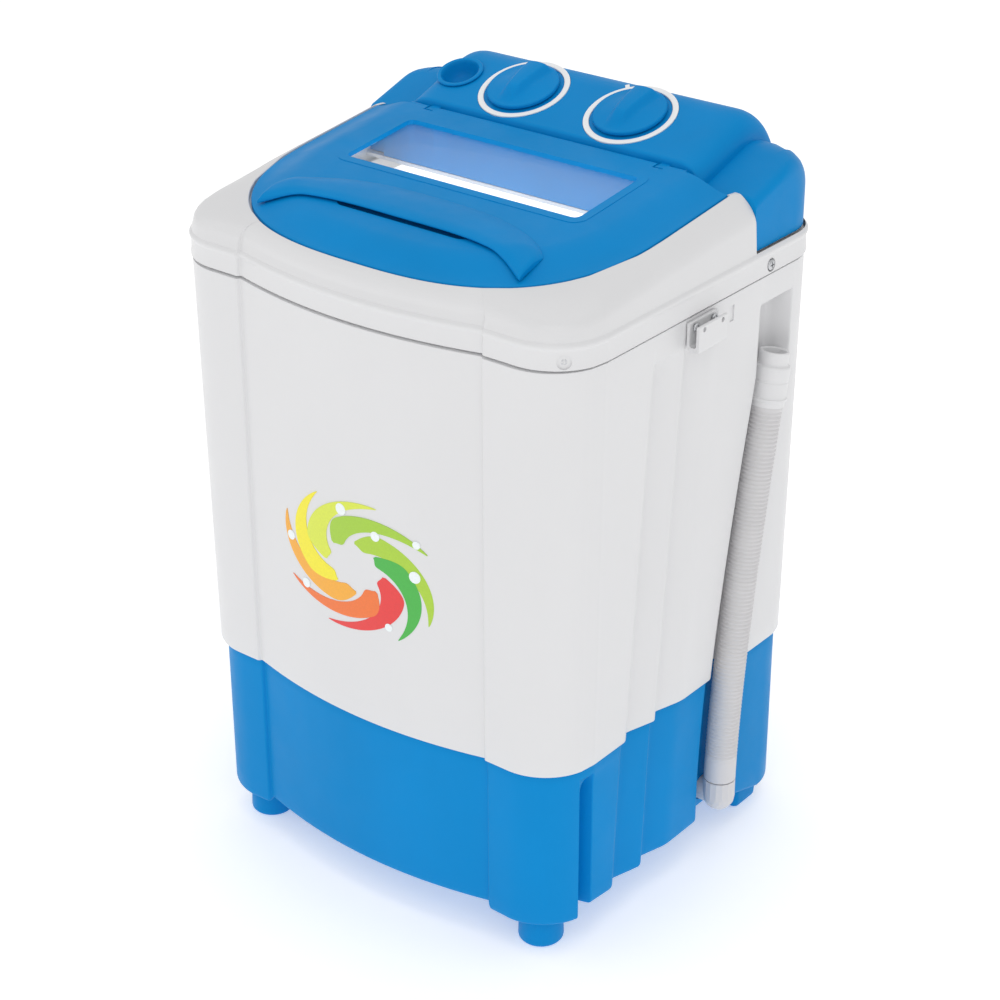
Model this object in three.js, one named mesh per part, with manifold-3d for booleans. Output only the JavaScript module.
// Portable top-loading mini washer: one wash tub with a pulsator, a belt-driven motor in the base,
// a sloping control console with two knobs, a hinged lid with a window, and a drain hose on the right side.
// Millimetres, +Z up, front towards -Y, right side towards +X.
// The origin is on the floor, at the centre of the footprint.
import * as THREE from 'three';
import { mergeVertices } from 'three/addons/utils/BufferGeometryUtils.js';
import Module from 'manifold-3d';

const wasm = await Module();
wasm.setup();

// ---------------------------------------------------------------- driving dimensions
const HALF_WIDTH = 181;        // overall, at the collar and the console
const PILLAR_FRONT = -148.5;   // front of the rounded corner pillars
const BACK = 161;              // rear face
const FRONT_RADIUS = 44;
const REAR_RADIUS = 38;
const PANEL_HALF = 110;        // half width of the bowed front panel
const PANEL_STEP = 2.5;        // the panel's edges sit this far behind the pillars
const BOW = 15;                // rise of the bowed front
const OUTREACH = 190;          // the hose and its hook reach this far to the right
const CENTRE_SHIFT = (OUTREACH - HALF_WIDTH) / 2;
const WALL = 2.8;
const GAP = 0.4;               // between parts that touch
const NECK = 4.6;              // the cabinet steps in by this much where the collar grips it
const LIP = 3.4;               // the cabinet's lower edge is this much thicker, to stand on the base

const SKIRT_Z = 33;            // bottom edge of the base skirt
const SPLIT_Z = 160;           // where the base meets the cabinet
const COLLAR_Z = 474;          // lower edge of the top collar
const BEAD_Z = 490;
const DECK_Z = 493.2;          // top of the deck under the console
const FLUTE_MIDDLE = 296;      // an extra level where the leaning channel bends
const FLUTE_TOP = 438;         // the flutes and the hose channel run out just above this
// Each side stands in by this much from the half width, at the cabinet's top and foot and in the base.
const NARROW = { top: 2.2, foot: 6.2, base: 10 };
const BASE_SETBACK = 3.3;      // the base's front stands this far behind the cabinet's

// Two flutes in each side, placed at the split line. They lean back by this much per millimetre of height.
const FLUTES = [{ y: -67, depth: 6.5 }, { y: -31, depth: 6.5 }];
const FLUTE_LEAN = 0.058;
const CORNER_GROOVE = { depth: 13, step: 2 };   // groove behind the base's front pillars
const PILLAR_SWEEP = 17;       // degrees the pillars stop short of the sides
// The hose channel in the right side.
const CHANNEL = { depth: 21, half: 14.5, frontRamp: 8, backRamp: 4, upright: 395 };
const OUTLET = { x: 176, y: 57.7, z: 50, radius: 12.4 };       // centre of the elbow the hose stands on
const HOSE_FOOT = 66.6;                                        // the hose starts at this height

const HINGE_Y = 60;
const HINGE_Z = 540.2;
const HINGE_RADIUS = 3.6;
// The lid has straight sides back from `square`, and a superellipse that reaches `reach` further forward.
const LID = { half: 160.5, square: -10, reach: 138.2, power: 2.68, thick: 3, roll: 9.5, plateau: 0.78 };
const LID_SLOPE = 0.11;       // the top rises this much per millimetre towards the back
const WINDOW = { half: 104, front: -38, back: 34.7, corner: 5 };

const CONSOLE_FRONT = 65.6;
const CONSOLE_SLOPE = 0.357;
const WING_FRONT = 70.4;       // the collar's side walls end here
const LEDGE = 4.8;             // the collar's ledge is this far below the lid's edge
const THROAT_HALF = 159.2;     // half width of the gap in the collar that the hinge and the console fill
const DIAL = { x: 48.6, y: 99.3, ringOuter: 35, ringInner: 30.6, knob: 27.5 };
const INLET = { x: -110, y: 100 };
const INLET_XY = [INLET.x, INLET.y];
const SPOUT_Z = 487.5;          // the inlet spout ends just above the tub's rim

const GLAND = { x: -120, z: 96 };
const DRIVE = { x: 0, y: -7 };         // axis of the pulsator
const MOTOR = { x: -80, y: 70 };
const BELT_Z = 62;
const PULLEY = { driven: 58, motor: 14, height: 12 };

const COLOURS = {
  white: { color: 0xe3e3e5, roughness: 0.32, metalness: 0 },
  blue: { color: 0x0a84cf, roughness: 0.35, metalness: 0 },
  ringWhite: { color: 0xffffff, roughness: 0.4, metalness: 0 },
  clear: { color: 0xf4fafc, roughness: 0.08, metalness: 0, transparent: true, opacity: 0.25 },
  hose: { color: 0xd2d1d3, roughness: 0.45, metalness: 0 },
  steel: { color: 0xb9bcc0, roughness: 0.3, metalness: 1 },
  darkSteel: { color: 0x55585c, roughness: 0.5, metalness: 0.8 },
  rubber: { color: 0x1c1c1e, roughness: 0.85, metalness: 0 },
  grey: { color: 0x9aa0a6, roughness: 0.5, metalness: 0 },
  brass: { color: 0xb08d4a, roughness: 0.35, metalness: 1 },
  decal: { color: 0xd8e04a, roughness: 0.4, metalness: 0 },
};

const washer = new THREE.Group();

// ---------------------------------------------------------------- helpers
function add(name, geometry, look, parent = washer) {
  const mesh = new THREE.Mesh(geometry, new THREE.MeshStandardMaterial(COLOURS[look]));
  mesh.name = name;
  parent.add(mesh);
  return mesh;
}

function solid(geometry) {
  const plain = new THREE.BufferGeometry().setAttribute('position', geometry.getAttribute('position').clone());
  if (geometry.index) plain.setIndex(geometry.index.clone());
  const merged = mergeVertices(plain, 1e-3);
  return new wasm.Manifold(new wasm.Mesh({
    numProp: 3,
    vertProperties: new Float32Array(merged.attributes.position.array),
    triVerts: new Uint32Array(merged.index.array),
  }));
}

function geometryOf(made) {
  const mesh = made.getMesh();
  return new THREE.BufferGeometry()
    .setAttribute('position', new THREE.BufferAttribute(mesh.vertProperties, 3))
    .setIndex(new THREE.BufferAttribute(mesh.triVerts, 1));
}

const join = (...parts) => geometryOf(parts.map(solid).reduce((all, next) => all.add(next)));
const cut = (body, ...tools) => geometryOf(
  tools.map(solid).reduce((left, tool) => left.subtract(tool), solid(body)),
);

function box(x0, x1, y0, y1, z0, z1) {
  return new THREE.BoxGeometry(x1 - x0, y1 - y0, z1 - z0)
    .translate((x0 + x1) / 2, (y0 + y1) / 2, (z0 + z1) / 2);
}

// An upright cylinder, or a cone when the top radius differs.
function rod(x, y, z0, z1, radius, segments = 24, topRadius = radius) {
  return new THREE.CylinderGeometry(topRadius, radius, z1 - z0, segments)
    .rotateX(Math.PI / 2).translate(x, y, (z0 + z1) / 2);
}

// A cylinder lying along X.
function crossRod(x0, x1, y, z, radius, segments = 16) {
  return new THREE.CylinderGeometry(radius, radius, x1 - x0, segments)
    .rotateZ(Math.PI / 2).translate((x0 + x1) / 2, y, z);
}

function tubeRing(x, y, z0, z1, outer, inner, segments = 24) {
  const profile = [[inner, z0], [outer, z0], [outer, z1], [inner, z1], [inner, z0]];
  return lathe(profile, segments).translate(x, y, 0);
}

// Revolves [radius, z] pairs about Z.
function lathe(profile, segments = 32) {
  const points = profile.map(([r, z]) => new THREE.Vector2(r, z));
  return new THREE.LatheGeometry(points, segments).rotateX(Math.PI / 2);
}

function roundedRectangle(halfX, halfY, radius) {
  const s = new THREE.Shape();
  s.moveTo(-halfX + radius, -halfY);
  s.lineTo(halfX - radius, -halfY);
  s.absarc(halfX - radius, -halfY + radius, radius, -Math.PI / 2, 0);
  s.absarc(halfX - radius, halfY - radius, radius, 0, Math.PI / 2);
  s.absarc(-halfX + radius, halfY - radius, radius, Math.PI / 2, Math.PI);
  s.absarc(-halfX + radius, -halfY + radius, radius, Math.PI, 1.5 * Math.PI);
  return s;
}

function extrude(shape, z0, z1, curveSegments = 5) {
  const options = { depth: z1 - z0, bevelEnabled: false, curveSegments };
  return new THREE.ExtrudeGeometry(shape, options).translate(0, 0, z0);
}

// Skins a stack of rings that have one point count each.
// A ring runs anticlockwise, seen against the stacking direction.
// A looped stack joins its last ring to its first; otherwise both ends are capped, laid flat by `flat`.
function loft(rings, { looped = false, flat = (p) => new THREE.Vector2(p.x, p.y) } = {}) {
  const count = rings[0].length;
  const vertices = [];
  const seen = new Map();
  const indexOf = (p) => {
    const key = [p.x, p.y, p.z].map((v) => Math.round(v * 1000)).join();
    if (!seen.has(key)) {
      seen.set(key, vertices.length / 3);
      vertices.push(p.x, p.y, p.z);
    }
    return seen.get(key);
  };
  const ids = rings.map((ring) => ring.map(indexOf));
  const faces = [];
  const face = (a, b, c) => {
    if (a !== b && b !== c && a !== c) faces.push(a, b, c);
  };
  const bands = looped ? rings.length : rings.length - 1;
  for (let r = 0; r < bands; r += 1) {
    const low = ids[r];
    const high = ids[(r + 1) % rings.length];
    for (let i = 0; i < count; i += 1) {
      const j = (i + 1) % count;
      face(low[i], low[j], high[j]);
      face(low[i], high[j], high[i]);
    }
  }
  if (!looped) {
    [[0, true], [rings.length - 1, false]].forEach(([r, turned]) => {
      const contour = rings[r].map(flat);
      THREE.ShapeUtils.triangulateShape(contour, []).forEach(([a, b, c]) => {
        const area = THREE.ShapeUtils.area([contour[a], contour[b], contour[c]]);
        const up = area > 0 ? [a, b, c] : [a, c, b];
        const [p, q, s] = turned ? [up[0], up[2], up[1]] : up;
        face(ids[r][p], ids[r][q], ids[r][s]);
      });
    });
  }
  return new THREE.BufferGeometry()
    .setAttribute('position', new THREE.BufferAttribute(new Float32Array(vertices), 3))
    .setIndex(faces);
}

// ---------------------------------------------------------------- plan outlines
// The hose leaves its elbow upright and leans further back as it rises.
const hoseY = (z) => OUTLET.y + 0.0076 * Math.max(0, z - HOSE_FOOT) ** 1.5;

const arc = (cx, cy, radius, from, to, steps = 5) => Array.from({ length: steps + 1 }, (_, i) => {
  const a = THREE.MathUtils.degToRad(from + ((to - from) * i) / steps);
  return [cx + radius * Math.cos(a), cy + radius * Math.sin(a)];
});

// A steep step inwards on the front side and a long ramp back out on the rear side, as [y, depth] pairs.
const flute = ({ y, depth }, amount) => [[y, 0], [y + 8, depth * amount], [y + 11, depth * amount], [y + 34, 0]];

// The washer's outline in plan, anticlockwise. The amounts switch the side features on (1) or off (0),
// and a plain outline leaves their points out.
function outline({
  inset = 0, narrow = 0, setBack = 0, flutes = 0, groove = 0, channel = 0, plain = false, z = SPLIT_Z,
} = {}) {
  const w = HALF_WIDTH - narrow - inset;
  const f = PILLAR_FRONT + setBack + inset;
  const b = BACK - inset;
  const rf = FRONT_RADIUS - inset;
  const rr = REAR_RADIUS - inset;
  const lean = FLUTE_LEAN * (z - SPLIT_Z);
  const detailed = [
    [f + rf, CORNER_GROOVE.depth * groove], [f + rf + 3, CORNER_GROOVE.step * groove],
    ...FLUTES.flatMap(({ y, depth }) => flute({ y: y + lean, depth }, flutes)),
  ];
  const shared = plain ? [-104, -50, 0].map((y) => [y, 0]) : detailed;
  const { half, frontRamp, backRamp } = CHANNEL;
  const deep = (CHANNEL.depth - narrow) * channel;   // the channel's floor stays upright
  const middle = hoseY(Math.min(z, CHANNEL.upright));
  const start = middle - half;
  const end = middle + half;
  const recess = [[start - frontRamp, 0], [start, deep], [end, deep], [end + backRamp, 0]];
  const hose = plain ? [[50, 0], [WING_FRONT + 6, 0]] : recess;
  const steps = 8;
  const panel = Array.from({ length: steps + 1 }, (_, i) => {
    const s = -1 + (2 * i) / steps;
    return [s * (PANEL_HALF - 1.5), f + PANEL_STEP - BOW * (1 - s * s)];
  });
  return [
    ...[...shared, ...hose].map(([y, depth]) => [w - depth, y]),
    ...arc(w - rr, b - rr, rr, 0, 90),
    ...arc(-w + rr, b - rr, rr, 90, 180), ...(plain ? [[-w, 50]] : []),
    ...[...shared].reverse().map(([y, depth]) => [-w + depth, y]),
    ...arc(-w + rf, f + rf, rf, 180 + PILLAR_SWEEP, 270),
    [-PANEL_HALF, f], ...panel, [PANEL_HALF, f],
    ...arc(w - rf, f + rf, rf, 270, 360 - PILLAR_SWEEP),
  ];
}

const atHeight = (points, z) => points.map(
  ([x, y]) => new THREE.Vector3(x, y, typeof z === 'function' ? z(x, y) : z),
);

// ---------------------------------------------------------------- cabinet and base
const narrowAt = (z) => THREE.MathUtils.lerp(NARROW.foot, NARROW.top, (z - SPLIT_Z) / (COLLAR_Z - SPLIT_Z));

function cabinetShell() {
  const level = (z, inset, flutes) => {
    const narrow = narrowAt(Math.min(z, COLLAR_Z));
    return atHeight(outline({ inset, narrow, flutes, channel: flutes, z }), z);
  };
  const top = BEAD_Z - 4.2;
  const fluteEnd = FLUTE_TOP + 14;
  const neckInside = NECK + 2.4;
  const shell = loft([
    level(SPLIT_Z + GAP, 0, 1), level(FLUTE_MIDDLE, 0, 1), level(CHANNEL.upright, 0, 1), level(FLUTE_TOP, 0, 1),
    level(fluteEnd, 0, 0), level(COLLAR_Z - 2, 0, 0), level(COLLAR_Z - 1, NECK, 0), level(top, NECK, 0),
    level(top, neckInside, 0), level(COLLAR_Z - 4, neckInside, 0), level(COLLAR_Z - 8, WALL, 0),
    level(fluteEnd, WALL, 0), level(FLUTE_TOP, WALL, 1), level(CHANNEL.upright, WALL, 1),
    level(FLUTE_MIDDLE, WALL, 1), level(SPLIT_Z + 10, WALL, 1), level(SPLIT_Z + 6, WALL + LIP, 1),
    level(SPLIT_Z + GAP, WALL + LIP, 1),
  ], { looped: true });
  const slot = box(HOOK_WALL - 1.2, HALF_WIDTH + 5, 40, 45, 452, 464);   // small blind slot behind the hook
  return cut(shell, slot, ...hookScrewHoles(), ...SCREWS.map(({ x, y, z, turn }) => screwHole(x, y, z, turn)));
}

// The skirt reaches lower at the corners, where the feet are.
function skirtBottom(x, y) {
  if (y > 104) return 20;
  if (y < -104 && Math.abs(x) > PANEL_HALF) return SKIRT_Z - 5;
  return SKIRT_Z;
}

function baseHousing() {
  const level = (z, inset, groove) => {
    const leanAt = typeof z === 'number' ? z : SKIRT_Z;
    return atHeight(outline({
      inset, narrow: NARROW.base, setBack: BASE_SETBACK, flutes: 1, channel: 1, groove, z: leanAt,
    }), z);
  };
  const raised = (rise) => (x, y) => skirtBottom(x, y) + rise;
  const shell = loft([
    level(skirtBottom, 2.2, 1), level(raised(5), 0, 1), level(138, 0, 1), level(150, 0, 0), level(SPLIT_Z, 0, 0),
    level(SPLIT_Z, WALL, 0), level(150, WALL, 0), level(138, WALL, 1), level(skirtBottom, WALL + 2.2, 1),
  ], { looped: true });
  const outletHole = crossRod(150, 172, OUTLET.y, OUTLET.z, 10, 20);
  const glandHole = new THREE.CylinderGeometry(8.5, 8.5, 20, 20).translate(GLAND.x, BACK, GLAND.z);
  return cut(shell, outletHole, glandHole);
}

// ---------------------------------------------------------------- top collar
const edgeZ = (y) => 512.5 + LID_SLOPE * (y + 146);            // the lid's rim and the collar round it
const crestZ = (y) => Math.min(507 + 0.075 * (y + 150), 523);  // the collar's rounded shoulder

// The D-shaped line at `inset` inside the lid's rim that lies inwards of an outer point.
function towardsLid([x, y], inset) {
  const half = LID.half - inset;
  const reach = LID.reach - inset;
  if (y >= HINGE_Y) return [THREE.MathUtils.clamp(x, -half, half), HINGE_Y];
  if (y >= LID.square) return [half * Math.sign(x), y];
  const dx = Math.abs(x) / half;
  const dy = (LID.square - y) / reach;
  const share = (dx ** LID.power + dy ** LID.power) ** (-1 / LID.power);
  return [x * share, LID.square - (LID.square - y) * share];
}

function topCollar() {
  const wall = (inset, z) => atHeight(outline({ inset, plain: true }), z);
  const throat = (inset, drop) => atHeight(
    outline({ plain: true }).map((p) => towardsLid(p, inset)),
    (x, y) => edgeZ(y) - drop,
  );
  const ring = loft([
    wall(0.9, COLLAR_Z), wall(1.4, BEAD_Z - 2.5), wall(0, BEAD_Z - 0.8), wall(0, BEAD_Z + 0.8),
    wall(1.8, BEAD_Z + 2.5),
    wall(3.5, (x, y) => crestZ(y) - 4), wall(5.2, (x, y) => crestZ(y)), wall(9, (x, y) => crestZ(y) + 3.5),
    throat(-1, 0), throat(-1, LEDGE), throat(12, LEDGE), throat(12, 22),
    throat(9, 22), throat(9, LEDGE + WALL), throat(-3.8, LEDGE + WALL),
    wall(10.5, (x, y) => crestZ(y) - 1), wall(6.3, (x, y) => crestZ(y) - 6), wall(4.8, BEAD_Z + 2.5),
    wall(3.3, BEAD_Z), wall(3.7, COLLAR_Z),
  ], { looped: true });
  const far = 200;
  const cleared = cut(
    ring,
    box(-far, far, WING_FRONT - GAP, far, DECK_Z + 0.1, 600),
    box(-THROAT_HALF, THROAT_HALF, HINGE_Y - 13, far, DECK_Z + 0.1, 600),
    ...SCREWS.map(({ x, y, z, turn }) => screwHole(x, y, z, turn)),
  );
  const deckSide = HALF_WIDTH - 3.6;
  const cornerX = HALF_WIDTH - REAR_RADIUS;
  const cornerY = BACK - REAR_RADIUS;
  const deck = box(-deckSide, deckSide, CONSOLE_FRONT, cornerY, DECK_Z - 3, DECK_Z);
  const deckBack = box(-cornerX, cornerX, cornerY - 1, BACK - 3.6, DECK_Z - 3, DECK_Z);
  const spoutHole = rod(INLET.x, INLET.y + 3, DECK_Z - 10, DECK_Z + 5, 8.6, 20);
  return cut(join(cleared, deck, deckBack), spoutHole);
}

// ---------------------------------------------------------------- screws
// Four screws hold the collar to the cabinet: two at the front corners and two on the sides.
const SCREW_SINK = 1.8;
const CORNER = (FRONT_RADIUS - SCREW_SINK) * (1 - Math.SQRT1_2) + SCREW_SINK;
const SCREWS = [
  { name: 'collar_screw_front_right', x: HALF_WIDTH - CORNER, y: PILLAR_FRONT + CORNER, z: 480, turn: -45 },
  { name: 'collar_screw_front_left', x: -HALF_WIDTH + CORNER, y: PILLAR_FRONT + CORNER, z: 480, turn: -135 },
  { name: 'collar_screw_side_right', x: HALF_WIDTH - SCREW_SINK, y: 88, z: 480, turn: 0 },
  { name: 'collar_screw_side_left', x: -HALF_WIDTH + SCREW_SINK, y: 88, z: 480, turn: 180 },
];

// Places geometry made along +X so that it points outwards at a screw.
const outwards = (geometry, x, y, z, turn) => geometry
  .rotateZ(THREE.MathUtils.degToRad(turn)).translate(x, y, z);

function screwHole(x, y, z, turn) {
  const passage = join(crossRod(-12, 4, 0, 0, 2, 10), crossRod(-1.3, 6, 0, 0, 4.5, 14));
  return outwards(passage, x, y, z, turn);
}

function screw(headRadius = 4, length = 7) {
  const head = crossRod(-0.9, 1.2, 0, 0, headRadius, 14);
  const shank = crossRod(-length, -0.5, 0, 0, 1.6, 8);
  const slotA = box(0.5, 3, -2.4, 2.4, -0.4, 0.4);
  const slotB = box(0.5, 3, -0.4, 0.4, -2.4, 2.4);
  return cut(join(head, shank), slotA, slotB);
}

// ---------------------------------------------------------------- hose hook
const HOOK = { front: -14, back: 20, low: 449, high: 470 };
const HOOK_WALL = HALF_WIDTH - NARROW.top;   // the cabinet's face behind the hook
const HOOK_SCREWS = [[HOOK.front + 6, 466], [HOOK.back - 6, 466]];

const hookScrewHoles = () => HOOK_SCREWS.map(([y, z]) => crossRod(165, 190, y, z, 1.9, 12));

// A plate on the side wall with a lip that curls out and up, drawn in the XZ plane and extruded along Y.
function hoseHook() {
  const x = HOOK_WALL + GAP;
  const profile = new THREE.Shape();
  profile.moveTo(x, HOOK.low + 2);
  profile.lineTo(x, HOOK.high);
  profile.lineTo(x + 2.4, HOOK.high);
  profile.lineTo(x + 2.4, HOOK.low + 6.5);
  profile.quadraticCurveTo(x + 2.6, HOOK.low + 3.4, x + 5.5, HOOK.low + 3.2);
  profile.quadraticCurveTo(x + 8.2, HOOK.low + 3.4, x + 8.4, HOOK.low + 7);
  profile.lineTo(x + 8.4, HOOK.high - 3);
  profile.lineTo(x + 10.8, HOOK.high - 3);
  profile.lineTo(x + 10.8, HOOK.low + 6);
  profile.quadraticCurveTo(x + 10.6, HOOK.low + 0.4, x + 5, HOOK.low);
  profile.lineTo(x + 2, HOOK.low);
  const body = extrude(profile, HOOK.front, HOOK.back)
    .rotateX(Math.PI / 2).translate(0, HOOK.front + HOOK.back, 0);
  return cut(body, ...HOOK_SCREWS.map(([y, z]) => crossRod(170, 200, y, z, 1.9, 12)));
}

// ---------------------------------------------------------------- console
const faceZ = (y) => 547.4 + CONSOLE_SLOPE * (y - CONSOLE_FRONT);     // the raised control face
const wingZ = (y) => 532 + 0.314 * (y - WING_FRONT);                // the lower shoulders beside it
const smooth = (from, to, v) => THREE.MathUtils.smoothstep(v, from, to);

const SIDE_ROLL = 7;                   // radius of the shoulders' outer edges
const REAR_ROLL = 31;                  // radius of the top's rear edge
const FACE_TILT = Math.atan(CONSOLE_SLOPE);

// One slice of the console across X, from the deck up to the top surface.
// A larger shrink makes the inner cavity.
function consoleSlice(x, shrink) {
  const side = Math.abs(x);
  const w = HALF_WIDTH - shrink;
  const rr = REAR_RADIUS - shrink;
  const over = Math.max(0, Math.min(1, (side - (w - rr)) / rr));
  const back = BACK - shrink - rr * (1 - Math.sqrt(1 - over * over));
  const front = (side < THROAT_HALF - GAP ? CONSOLE_FRONT : WING_FRONT) + shrink;
  const wing = smooth(114, 136, side);
  const edge = SIDE_ROLL * (1 - Math.sqrt(1 - Math.max(0, (side - (w - SIDE_ROLL)) / SIDE_ROLL) ** 2));
  const topAt = (y) => THREE.MathUtils.lerp(faceZ(y), wingZ(y), wing) - edge - shrink;
  const low = shrink ? DECK_Z - 5 : DECK_Z + GAP;
  const roll = Math.min(REAR_ROLL, (back - front) / 3);
  const centreZ = topAt(back - roll) - roll / Math.cos(FACE_TILT);
  const curl = [-FACE_TILT, 0.05, 0.5, 1, Math.PI / 2].map(
    (a) => [back - roll + roll * Math.sin(a), centreZ + roll * Math.cos(a)],
  );
  return [
    [front, low], [back, low], ...curl.reverse(), [front + 1.2, topAt(front + 1.2)],
    [front, topAt(front) - 1.2],
  ].map(([y, z]) => new THREE.Vector3(x, y, z));
}

function consoleBody(shrink) {
  const w = HALF_WIDTH - shrink;
  const wingEdge = THROAT_HALF - GAP;
  const stations = [
    0, 113, 118, 122, 126, 130, 136, 148, wingEdge - 0.05, wingEdge + 0.05,
    w - SIDE_ROLL, w - 4.5, w - 2, w - 0.6, w,
  ];
  const across = [...stations.slice(1).reverse().map((x) => -x), ...stations];
  return loft(
    across.map((x) => consoleSlice(x, shrink)),
    { flat: (p) => new THREE.Vector2(p.y, p.z) },
  );
}

// A group whose +Z stands square on the control face at (x, y).
function onFace(x, y) {
  const group = new THREE.Group();
  group.position.set(x, y, faceZ(y));
  group.rotation.x = FACE_TILT;
  washer.add(group);
  return group;
}

// The same placement for a cutting tool.
const placedOnFace = (geometry, x, y) => geometry.rotateX(FACE_TILT).translate(x, y, faceZ(y));

const EAR = { inner: 100.4, outer: 108 };   // the console's hinge ears, from the middle

function consoleShell() {
  const shell = cut(consoleBody(0), consoleBody(WALL));
  const dialHoles = [-DIAL.x, DIAL.x].map((x) => placedOnFace(rod(0, 0, -12, 12, 5.4, 20), x, DIAL.y));
  const ringGrooves = [-DIAL.x, DIAL.x].map((x) => placedOnFace(
    tubeRing(0, 0, -1.2, 6, DIAL.ringOuter + 0.3, DIAL.ringInner - 0.3, 32), x, DIAL.y,
  ));
  const inletHole = placedOnFace(rod(0, 0, -20, 12, 15.6, 28), INLET.x, INLET.y);
  const ears = [-1, 1].map((s) => box(
    Math.min(s * EAR.inner, s * EAR.outer), Math.max(s * EAR.inner, s * EAR.outer),
    HINGE_Y - HINGE_RADIUS, CONSOLE_FRONT + 2, HINGE_Z - 8, HINGE_Z + HINGE_RADIUS,
  ));
  const pinBore = crossRod(-EAR.outer - 1, EAR.outer + 1, HINGE_Y, HINGE_Z, 2.3);
  return cut(join(shell, ...ears), ...dialHoles, ...ringGrooves, inletHole, pinBore);
}

// A cup with a raised rim, square on the control face, over an upright spout that ends above the tub.
function inletCup() {
  const outside = [[0, -14], [11, -14], [15, -4], [15, 0.5], [19, 0.5], [19, 2], [17, 3.2], [0, 3.2]];
  const cup = placedOnFace(lathe(outside, 22), ...INLET_XY);
  const spout = rod(INLET.x, INLET.y + 3, SPOUT_Z, faceZ(INLET.y) - 9, 7.6, 14);
  const hollow = placedOnFace(lathe([[0, -11], [9, -11], [12.8, -3], [14.4, 5], [0, 5]], 20), ...INLET_XY);
  const bore = rod(INLET.x, INLET.y + 3, SPOUT_Z - 5, faceZ(INLET.y) - 5, 5.6, 16);
  return cut(join(cup, spout), hollow, bore);
}

// The grip: a domed skirt with a tapered finger bar across it.
function knob() {
  const skirt = lathe([
    [0, 1], [26, 1], [DIAL.knob, 2], [DIAL.knob, 4], [25.5, 5.6], [15, 7.2], [0, 7.8],
  ], 28);
  const bar = new THREE.Shape();
  bar.moveTo(-6, -23);
  bar.lineTo(6, -23);
  bar.lineTo(9.5, 22);
  bar.quadraticCurveTo(0, 26, -9.5, 22);
  const grip = extrude(bar, 4, 13, 4);
  const positions = grip.getAttribute('position');
  for (let i = 0; i < positions.count; i += 1) {
    if (positions.getZ(i) > 12) positions.setXY(i, positions.getX(i) * 0.72, positions.getY(i) * 0.9);
  }
  const bore = rod(0, 0, -1, 12, 3.3, 16);
  return cut(join(skirt, grip), bore);
}

// ---------------------------------------------------------------- lid
function lidRing(share, drop) {
  const rollOff = LID.roll * smooth(LID.plateau, 1, share);
  const backY = HINGE_Y - 14 * (1 - share);
  const half = LID.half * share;
  const steps = 26;
  const curve = Array.from({ length: steps + 1 }, (_, i) => {
    const a = Math.PI + (Math.PI * i) / steps;
    const c = Math.cos(a);
    const s = Math.abs(Math.sin(a));
    const x = half * Math.sign(c) * Math.abs(c) ** (2 / LID.power);
    return [x, LID.square - LID.reach * share * s ** (2 / LID.power)];
  });
  const ring = [[-half, backY], ...curve, [half, backY]];
  return atHeight(ring, (x, y) => edgeZ(y) + LID.roll - rollOff - drop);
}

const plateauZ = (y) => edgeZ(y) + LID.roll;   // the flat middle of the lid

// The lid's top surface forward of its straight sides.
function lidTopZ(x, y) {
  const across = Math.abs(x) / LID.half;
  const along = Math.max(0, LID.square - y) / LID.reach;
  const share = (across ** LID.power + along ** LID.power) ** (1 / LID.power);
  return plateauZ(y) - LID.roll * smooth(LID.plateau, 1, share);
}

const SCOOP = { y: -99, halfX: 60, halfY: 13, depth: 4.5 };
const LID_TILT = Math.atan(LID_SLOPE);

const NOTCH = { inner: 99.8, outer: 108.6 };   // the lid's rear edge is notched round each ear
const BARREL_HALF = 125;
const PIN = { inner: 90, outer: 118 };         // the hinge pins' ends

function lidPanel() {
  const rim = 0.994;
  const shares = [0.97, 0.95, 0.93, 0.905, 0.88, 0.855, 0.83, LID.plateau];
  const plate = loft([
    lidRing(LID.plateau, LID.thick), ...[0.88, 0.95].map((s) => lidRing(s, LID.thick)),
    lidRing(rim, LID.thick + 1.2), lidRing(rim, 0), ...shares.map((s) => lidRing(s, 0)),
  ]);
  const hole = extrude(roundedRectangle(WINDOW.half, (WINDOW.back - WINDOW.front) / 2, WINDOW.corner), 480, 600)
    .translate(0, (WINDOW.back + WINDOW.front) / 2, 0);
  const notches = [-NOTCH.outer, NOTCH.inner].map((x) => box(
    x, x + NOTCH.outer - NOTCH.inner, HINGE_Y - 6, HINGE_Y + 20, 500, 560,
  ));
  const barrel = crossRod(-BARREL_HALF, BARREL_HALF, HINGE_Y, HINGE_Z, HINGE_RADIUS, 18);
  const scoop = (grow, top, bottom) => extrude(
    roundedRectangle(SCOOP.halfX + grow, SCOOP.halfY + grow, 12 + grow),
    bottom, top, 4,
  ).rotateX(LID_TILT).translate(0, SCOOP.y, plateauZ(SCOOP.y));
  const basin = scoop(2, -2.4, -SCOOP.depth - 2.6);
  const bores = [-PIN.outer, PIN.inner].map((x) => crossRod(
    x - 1, x + PIN.outer - PIN.inner + 1, HINGE_Y, HINGE_Z, 2.3,
  ));
  const pegHoles = handlePegs(0.4, -9, 6);
  const panel = cut(join(plate, barrel, basin), ...notches);
  return cut(panel, hole, scoop(0, 10, -SCOOP.depth), ...bores, ...pegHoles);
}

// The handle is a low curved moulding.
// Its back half stands on the lid and its front half is a lip over the scoop.
const BAR = { half: 118, y: -82, sag: 24, power: 3, taper: 0.35 };
const BAR_SECTION = [
  [-1, 1.3], [19, 1.3], [19, 2], [12, 4.6], [4, 6.8],
  [-13, 7.4], [-18.4, 6.6], [-19, 5.2], [-17.4, 4.5], [-1, 4.5],
];
const barY = (x) => BAR.y - BAR.sag * Math.abs(x / BAR.half) ** BAR.power;

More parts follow.
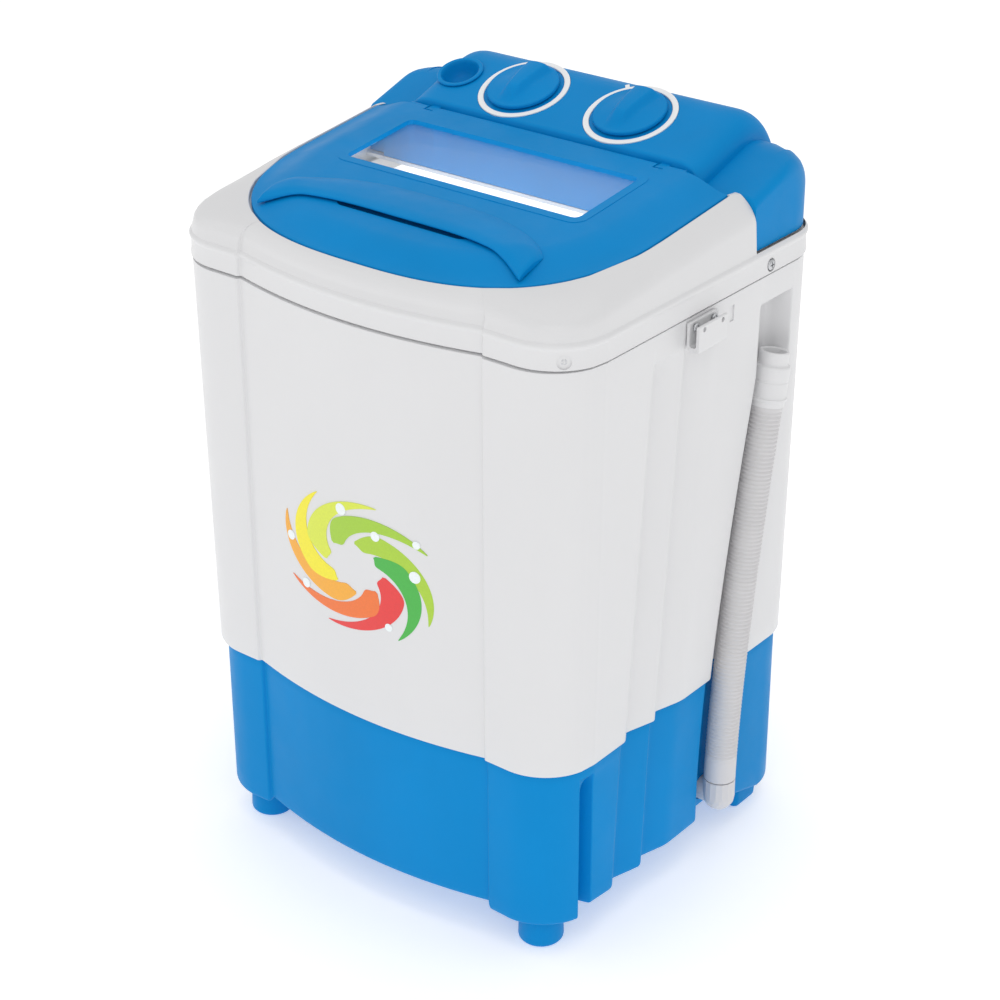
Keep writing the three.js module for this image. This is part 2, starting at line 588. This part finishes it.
// Two pegs hold the handle. They pass through the lid.
function handlePegs(grow, bottom, top) {
  return [-1, 1].map((side) => {
    const x = side * 84;
    const y = barY(x) + 6.5;
    return rod(x, y, plateauZ(y) + bottom, plateauZ(y) + top, 3.2 + grow, 12);
  });
}

function lidHandle() {
  const steps = 30;
  const slices = Array.from({ length: steps + 1 }, (_, i) => {
    const x = BAR.half * (-1 + (2 * i) / steps);
    const width = 1 - BAR.taper * (x / BAR.half) ** 2;
    return BAR_SECTION.map(([offset, rise]) => {
      const y = barY(x) + offset * width;
      return new THREE.Vector3(x, y, lidTopZ(x, y) + rise);
    });
  });
  const moulding = loft(slices, { flat: (p) => new THREE.Vector2(p.y, p.z) });
  return join(moulding, ...handlePegs(0, -4.5, 3));
}

function lidWindow() {
  const shape = roundedRectangle(WINDOW.half + 5, (WINDOW.back - WINDOW.front) / 2 + 5, WINDOW.corner + 3);
  const middle = (WINDOW.back + WINDOW.front) / 2;
  return extrude(shape, 0, 2.4, 5)
    .rotateX(LID_TILT)
    .translate(0, middle, plateauZ(middle) - LID.thick - GAP - 2.4);
}

// ---------------------------------------------------------------- wash tub
const TUB = { half: 142, front: -132, back: 118, corner: 34, rim: 486, floor: 182, wall: 2.6 };

// An octagonal plan with flat corner facets.
function tubPlan(inset, taper) {
  const w = TUB.half - inset - taper;
  const f = TUB.front + inset + taper;
  const b = TUB.back - inset - taper;
  const c = TUB.corner;
  return [[w, f + c], [w, b - c], [w - c, b], [-w + c, b], [-w, b - c], [-w, f + c], [-w + c, f], [w - c, f]]
    .flatMap(([x, y], i, all) => {
      const [nx, ny] = all[(i + 1) % all.length];
      return [[x * 0.97 + nx * 0.03, y * 0.97 + ny * 0.03], [x * 0.03 + nx * 0.97, y * 0.03 + ny * 0.97]];
    });
}

function washTub() {
  const at = (z, inset, taper) => atHeight(tubPlan(inset, taper), z);
  const { rim, floor, wall } = TUB;
  const bucket = loft([
    at(floor - wall, 0, 20), at(floor + 14, 0, 8), at(rim - 3, 0, 0), at(rim - 3, -7, 0),
    at(rim, -7, 0), at(rim, wall, 0),
    at(floor + 16, wall, 8), at(floor, wall, 20),
  ]);
  const shaftHole = rod(DRIVE.x, DRIVE.y, floor - 20, floor + 20, 15.6, 28);
  const drainHole = rod(DRAIN.x, DRAIN.y, floor - 20, floor + 20, 13.4, 24);
  return cut(bucket, shaftHole, drainHole);
}

// ---------------------------------------------------------------- pulsator and its drive
function pulsator() {
  const z = TUB.floor;
  const disc = lathe([
    [0, z + 4], [84, z + 4], [86, z + 6], [84, z + 10], [60, z + 14], [28, z + 22], [20, z + 34], [0, z + 36],
  ], 28).translate(DRIVE.x, DRIVE.y, 0);
  const fins = [0, 60, 120, 180, 240, 300].map((deg) => {
    const fin = new THREE.Shape();
    fin.moveTo(14, 0);
    fin.lineTo(78, 0);
    fin.quadraticCurveTo(78, 9, 66, 12);
    fin.quadraticCurveTo(34, 20, 14, 27);
    return extrude(fin, -4, 4, 3).rotateX(Math.PI / 2).rotateZ(THREE.MathUtils.degToRad(deg))
      .translate(DRIVE.x, DRIVE.y, z + 6);
  });
  const bore = rod(DRIVE.x, DRIVE.y, z - 5, z + 26, 6.3, 20);
  const screwBore = rod(DRIVE.x, DRIVE.y, z + 20, z + 60, 2.4, 16);
  const counterbore = rod(DRIVE.x, DRIVE.y, z + 32, z + 60, 5.2, 20);
  return cut(join(disc, ...fins), bore, screwBore, counterbore);
}

const SHAFT = { bottom: BELT_Z - 8, top: TUB.floor + 25.4 };

function driveShaft() {
  const shaft = rod(DRIVE.x, DRIVE.y, SHAFT.bottom, SHAFT.top, 6, 24);
  return cut(shaft, rod(DRIVE.x, DRIVE.y, SHAFT.top - 12, SHAFT.top + 5, 2.4, 16));
}

function pulsatorScrew() {
  const z = TUB.floor + 32.3;
  const body = join(rod(DRIVE.x, DRIVE.y, z, z + 3, 4.6, 20), rod(DRIVE.x, DRIVE.y, z - 16, z + 0.5, 2, 14));
  return cut(body, box(-3.4, 3.4, DRIVE.y - 0.5, DRIVE.y + 0.5, z + 2, z + 5));
}

// A V-grooved pulley of the given radius with a hub and a bore.
function pulley({ x, y }, radius, bore, web) {
  const z = BELT_Z;
  const h = PULLEY.height / 2;
  const rim = [
    [radius, z - h], [radius, z - 4], [radius - 5, z - 1.2],
    [radius - 5, z + 1.2], [radius, z + 4], [radius, z + h],
  ];
  const inner = radius - 11;
  const dished = [[bore, z - h], ...(web ? [[14, z - h], [16, z - 2], [inner, z - 2], [inner, z - h]] : [])];
  const back = web ? [[inner, z + h], [inner, z + 2], [16, z + 2], [14, z + h]] : [];
  return lathe([...dished, ...rim, ...back, [bore, z + h], [bore, z - h]], web ? 28 : 20).translate(x, y, 0);
}

function bearingHousing() {
  const top = TUB.floor - TUB.wall - GAP;
  const body = lathe([
    [9.4, 92], [17, 92], [19, 140], [20, 168], [46, 170], [46, top], [15.2, top], [15.2, 166], [11.4, 160],
    [11.4, 130], [9.4, 130], [9.4, 92],
  ], 20).translate(DRIVE.x, DRIVE.y, 0);
  const ribs = [45, 135, 225, 315].map((deg) => {
    const rib = new THREE.Shape();
    rib.moveTo(17.5, 120);
    rib.lineTo(19, 168.5);
    rib.lineTo(44, 171);
    rib.lineTo(44, 169);
    return extrude(rib, -1.5, 1.5).rotateX(Math.PI / 2).rotateZ(THREE.MathUtils.degToRad(deg))
      .translate(DRIVE.x, DRIVE.y, 0);
  });
  return join(body, ...ribs);
}

const bush = (z0, z1, outer) => tubeRing(DRIVE.x, DRIVE.y, z0, z1, outer, 6.5, 18);

function beltGeometry() {
  const gapToGroove = 0.5;
  const r1 = PULLEY.driven - 5 + gapToGroove;
  const r2 = PULLEY.motor - 5 + gapToGroove;
  const dx = MOTOR.x - DRIVE.x;
  const dy = MOTOR.y - DRIVE.y;
  const distance = Math.hypot(dx, dy);
  const along = Math.atan2(dy, dx);
  const lean = Math.acos((r1 - r2) / distance);
  const loop = (grow) => {
    const points = [];
    const wrap = (cx, cy, r, from, to, steps) => {
      for (let i = 0; i <= steps; i += 1) {
        const a = from + ((to - from) * i) / steps;
        points.push(new THREE.Vector2(cx + r * Math.cos(a), cy + r * Math.sin(a)));
      }
    };
    wrap(DRIVE.x, DRIVE.y, r1 + grow, along + lean, along + 2 * Math.PI - lean, 20);
    wrap(MOTOR.x, MOTOR.y, r2 + grow, along - lean, along + lean, 8);
    return points;
  };
  const shape = new THREE.Shape(loop(3.4));
  shape.holes.push(new THREE.Path(loop(0)));
  return extrude(shape, BELT_Z - 1, BELT_Z + 1);
}

// ---------------------------------------------------------------- motor
const MOTOR_Z = { low: 84, high: 146, plate: 154 };

function motorBody() {
  const { low, high } = MOTOR_Z;
  const can = lathe([
    [5, low], [22, low], [24, low + 6], [43, low + 10], [43, high - 12], [24, high - 6], [20, high], [0, high],
    [0, high - 6], [5, high - 6], [5, low],
  ], 24).translate(MOTOR.x, MOTOR.y, 0);
  const lugs = motorMountPoints().map(([x, y]) => rod(x, y, high - 16, high - 10.5, 9, 12));
  return cut(join(can, ...lugs), ...motorMountPoints().map(([x, y]) => rod(x, y, high - 20, high - 5, 2.4, 10)));
}

function motorMountPoints() {
  return [45, 165, 285].map((deg) => {
    const a = THREE.MathUtils.degToRad(deg);
    return [MOTOR.x + 47 * Math.cos(a), MOTOR.y + 47 * Math.sin(a)];
  });
}

function motorBracket() {
  const plate = extrude(roundedRectangle(50, 54, 10), MOTOR_Z.plate, MOTOR_Z.plate + 2.5)
    .translate(MOTOR.x, MOTOR.y, 0);
  const standoffs = [[-56, 96], [-106, 62], [-100, 26], [-38, 40]].map(([x, y]) => (
    rod(x, y, MOTOR_Z.plate + 1, TUB.floor - TUB.wall - GAP, 5, 14)
  ));
  const holes = motorMountPoints().map(([x, y]) => rod(x, y, 140, 170, 2.4, 12));
  return cut(join(plate, ...standoffs), rod(MOTOR.x, MOTOR.y, 140, 170, 22, 28), ...holes);
}

// ---------------------------------------------------------------- drain
const DRAIN = { x: 98, y: -62 };
const HOSE_RADIUS = 12.3;
const HOSE_CUFF = { from: 367, to: 398, tip: 408, radius: 14, tipRadius: 11 };

function tubeAlong(points, radius, steps, sides = 12) {
  const shape = new THREE.Shape();
  shape.absarc(0, 0, radius, 0, 2 * Math.PI);
  const path = new THREE.CatmullRomCurve3(points.map((p) => new THREE.Vector3(...p)));
  const options = { steps, extrudePath: path, curveSegments: sides, bevelEnabled: false };
  return new THREE.ExtrudeGeometry(shape, options);
}

// A stiff end sleeve, leaning back with the top of the hose.
function hoseCuff() {
  const { from, to, tip, radius, tipRadius } = HOSE_CUFF;
  const lean = Math.atan(0.2);
  const sleeve = [[0, 0], [radius - 1, 0], [radius, 1.5], [radius, to - from - 1.5], [radius - 1, to - from]];
  const mouth = tipRadius - 2.6;
  const end = [
    [tipRadius, to - from], [tipRadius, tip - from], [mouth, tip - from],
    [mouth, tip - from - 12], [0, tip - from - 12],
  ];
  return lathe([...sleeve, ...end], 20).rotateX(-lean).translate(OUTLET.x, hoseY(from) + 0.1, from + 0.6);
}

// The moulded elbow under the hose: in through the base wall, then straight up into the hose.
function outletElbow() {
  const { x, y, z } = OUTLET;
  const ball = new THREE.SphereGeometry(OUTLET.radius, 16, 10).translate(x, y, z);
  const stub = crossRod(144, x, y, z, 9.5, 20);
  const spigot = rod(x, y, z, z + 15.6, OUTLET.radius, 16);
  const flange = crossRod(151.6, 154, y, z, 14, 20);
  const boreIn = crossRod(140, x, y, z, 7.5, 16);
  const boreUp = rod(x, y, z, z + 30, 8.5, 16);
  return cut(join(ball, stub, spigot, flange), boreIn, boreUp);
}

function drainSump() {
  const { x, y } = DRAIN;
  const top = TUB.floor - TUB.wall - GAP;
  const cup = lathe([
    [0, 138], [9, 138], [17, 150], [17, top], [13.6, top], [13.6, 152], [7, 142], [0, 142],
  ], 24).translate(x, y, 0);
  const spout = new THREE.CylinderGeometry(9, 9, 26, 18).translate(x, y + 22, 152);
  return cut(join(cup, spout), new THREE.CylinderGeometry(6.5, 6.5, 60, 14).translate(x, y + 34, 152));
}

function innerHose() {
  const route = [
    [DRAIN.x, DRAIN.y + 36, 152], [DRAIN.x, DRAIN.y + 50, 152], [104, 8, 142], [114, 32, 110],
    [121, 50, 76], [126, 57, 58], [135, OUTLET.y, OUTLET.z + 0.3], [143.6, OUTLET.y, OUTLET.z],
  ];
  return tubeAlong(route, 8.5, 20, 4);
}

const strainer = () => {
  const z = TUB.floor;
  const disc = lathe([[0, z + 0.4], [16.5, z + 0.4], [16.5, z + 2], [12, z + 3.4], [0, z + 3.6]], 18);
  const holes = [0, 90, 180, 270].map(
    (deg) => rod(8, 0, z - 4, z + 8, 2.2, 8).rotateZ(THREE.MathUtils.degToRad(deg)),
  );
  return cut(disc, ...holes).translate(DRAIN.x, DRAIN.y, 0);
};

// ---------------------------------------------------------------- base pan and feet
function basePan() {
  const plan = outline({
    inset: WALL + 7, narrow: NARROW.base, setBack: BASE_SETBACK, flutes: 1, channel: 1, groove: 1, z: SKIRT_Z,
  });
  const plate = loft([atHeight(plan, SKIRT_Z + 3), atHeight(plan, SKIRT_Z + 6)]);
  const vents = [-60, -40, -20, 0, 20, 40, 60].map((x) => box(x - 3, x + 3, -110, -60, 20, 60));
  return cut(plate, ...vents);
}

const FEET = { front: { x: 136, y: -115, radius: 17 }, rear: { x: 143, y: 124, halfX: 17, halfY: 15 } };

function frontFoot(side) {
  const { x, y, radius } = FEET.front;
  const z = SKIRT_Z + 3 - GAP;
  return lathe([[0, 0], [radius - 3, 0], [radius, 4], [radius, 14], [radius, z], [0, z]], 24)
    .translate(side * x, y, 0);
}

function rearFoot(side) {
  const { x, y, halfX, halfY } = FEET.rear;
  const foot = new THREE.ExtrudeGeometry(roundedRectangle(halfX - 2, halfY - 2, 3), {
    depth: SKIRT_Z + 3 - GAP - 4, bevelThickness: 2, bevelSize: 2, bevelSegments: 1, curveSegments: 2,
  });
  return foot.translate(side * x, y, 2);
}

// ---------------------------------------------------------------- decal
// A thin oval label that follows the bowed front panel.
function frontDecal() {
  const centre = { z: 292, halfX: 76, halfZ: 56 };
  const surface = (x) => PILLAR_FRONT + PANEL_STEP - BOW * (1 - (x / (PANEL_HALF - 1.5)) ** 2);
  const columns = 24;
  const slices = Array.from({ length: columns + 1 }, (_, i) => {
    const s = -0.995 + (1.99 * i) / columns;
    const x = centre.halfX * s;
    const h = centre.halfZ * Math.sqrt(1 - s * s);
    return [[-1, -h], [-0.4, -h], [-0.4, h], [-1, h]]
      .map(([off, rise]) => new THREE.Vector3(x, surface(x) + off, centre.z + rise));
  });
  return loft(slices, { flat: (p) => new THREE.Vector2(p.y, p.z) });
}

function motorFan() {
  const z = BELT_Z + 9;
  const hub = tubeRing(0, 0, z, z + 7, 9, 4.4, 16);
  const blades = [0, 72, 144, 216, 288].map((deg) => box(8, 30, -1, 1, z + 0.5, z + 6.5)
    .rotateZ(THREE.MathUtils.degToRad(deg)));
  return join(hub, ...blades).translate(MOTOR.x, MOTOR.y, 0);
}

function capacitorClip() {
  const band = tubeRing(70, 112, 90, 100, 19, 17.5, 20);
  const foot = box(60, 80, 130.2, 148, 90, 92);
  const web = box(60, 80, 129, 131, 90, 100);
  return join(band, foot, web);
}

// The bush that the supply lead leaves by, low on the rear wall. Its flange is on the inside.
function cordGland() {
  const inner = -WALL - 1.4;
  const profile = [
    [3.8, inner - 2.4], [11, inner - 2.4], [11, inner], [8, inner],
    [8, -0.2], [3.8, -0.2], [3.8, inner - 2.4],
  ];
  return lathe(profile, 20).rotateX(-Math.PI / 2).translate(GLAND.x, BACK, GLAND.z);
}

// ---------------------------------------------------------------- assembly
add('cabinet_shell', cabinetShell(), 'white');
add('base_housing', baseHousing(), 'blue');
add('base_pan', basePan(), 'blue');
add('foot_front_right', frontFoot(1), 'blue');
add('foot_front_left', frontFoot(-1), 'blue');
add('foot_rear_right', rearFoot(1), 'blue');
add('foot_rear_left', rearFoot(-1), 'blue');
add('top_collar', topCollar(), 'white');
add('front_decal', frontDecal(), 'decal');
SCREWS.forEach(({ name, x, y, z, turn }) => {
  const mesh = add(name, screw(), 'steel');
  mesh.position.set(x, y, z);
  mesh.rotation.z = THREE.MathUtils.degToRad(turn);
});

add('hose_hook', hoseHook(), 'white');
HOOK_SCREWS.forEach(([y, z], i) => {
  add(`hook_screw_${i + 1}`, screw(3, 6), 'steel').position.set(HOOK_WALL + GAP + 3.8, y, z);
});

add('console_shell', consoleShell(), 'blue');
add('inlet_cup', inletCup(), 'blue');
[['timer', -DIAL.x], ['selector', DIAL.x]].forEach(([name, x]) => {
  const face = onFace(x, DIAL.y);
  add(`${name}_ring`, tubeRing(0, 0, -0.8, 0.5, DIAL.ringOuter, DIAL.ringInner, 32), 'ringWhite', face);
  add(`${name}_knob`, knob(), 'blue', face);
  add(`${name}_shaft`, rod(0, 0, -9, 9, 3, 18), 'steel', face);
  const depth = name === 'timer' ? 30 : 20;
  const half = name === 'timer' ? 24 : 18;
  const body = extrude(roundedRectangle(half, half, 4), -4.4 - depth, -4.4);
  add(`${name}_body`, cut(body, rod(0, 0, -14, 0, 3.4, 18)), 'grey', face);
});

add('lid_panel', lidPanel(), 'blue');
add('lid_window', lidWindow(), 'clear');
add('lid_handle', lidHandle(), 'blue');
add('hinge_pin_right', crossRod(PIN.inner, PIN.outer, HINGE_Y, HINGE_Z, 2), 'steel');
add('hinge_pin_left', crossRod(-PIN.outer, -PIN.inner, HINGE_Y, HINGE_Z, 2), 'steel');

add('wash_tub', washTub(), 'white');
add('drain_strainer', strainer(), 'white');
add('pulsator', pulsator(), 'blue');
add('pulsator_screw', pulsatorScrew(), 'steel');
add('drive_shaft', driveShaft(), 'steel');
add('shaft_seal', bush(TUB.floor - 13, TUB.floor - 3.2, 14.8), 'rubber');
add('upper_bush', bush(134, 158, 11), 'brass');
add('lower_bush', bush(93, 116, 9), 'brass');
add('bearing_housing', bearingHousing(), 'grey');
add('driven_pulley', pulley(DRIVE, PULLEY.driven, 6.4, true), 'grey');
add('drive_belt', beltGeometry(), 'rubber');

add('motor_body', motorBody(), 'darkSteel');
add('motor_shaft', rod(MOTOR.x, MOTOR.y, BELT_Z - 7, MOTOR_Z.high - 7, 4, 18), 'steel');
add('motor_pulley', pulley(MOTOR, PULLEY.motor, 4.4, false), 'steel');
add('motor_fan', motorFan(), 'grey');
add('motor_bracket', motorBracket(), 'steel');
motorMountPoints().forEach(([x, y], i) => {
  add(`motor_mount_${i + 1}`, rod(x, y, MOTOR_Z.high - 10.1, MOTOR_Z.plate - GAP, 7, 16), 'rubber');
});
add('capacitor', rod(70, 112, 70, 124, 17, 24), 'grey');
add('capacitor_clip', capacitorClip(), 'steel');

add('drain_sump', drainSump(), 'white');
add('inner_drain_hose', innerHose(), 'hose');
add('outlet_elbow', outletElbow(), 'hose');
const hoseHeights = [0, 0.05, 0.2, 0.4, 0.6, 0.8, 1].map(
  (s) => THREE.MathUtils.lerp(HOSE_FOOT, HOSE_CUFF.from, s),
);
add('drain_hose', tubeAlong(hoseHeights.map((z) => [OUTLET.x, hoseY(z), z]), HOSE_RADIUS, 14, 6), 'hose');
add('hose_cuff', hoseCuff(), 'hose');
add('cord_gland', cordGland(), 'rubber');

// The hose and the hook stand out on the right, so the washer moves left to centre its footprint.
washer.position.x = -CENTRE_SHIFT;

export default washer;
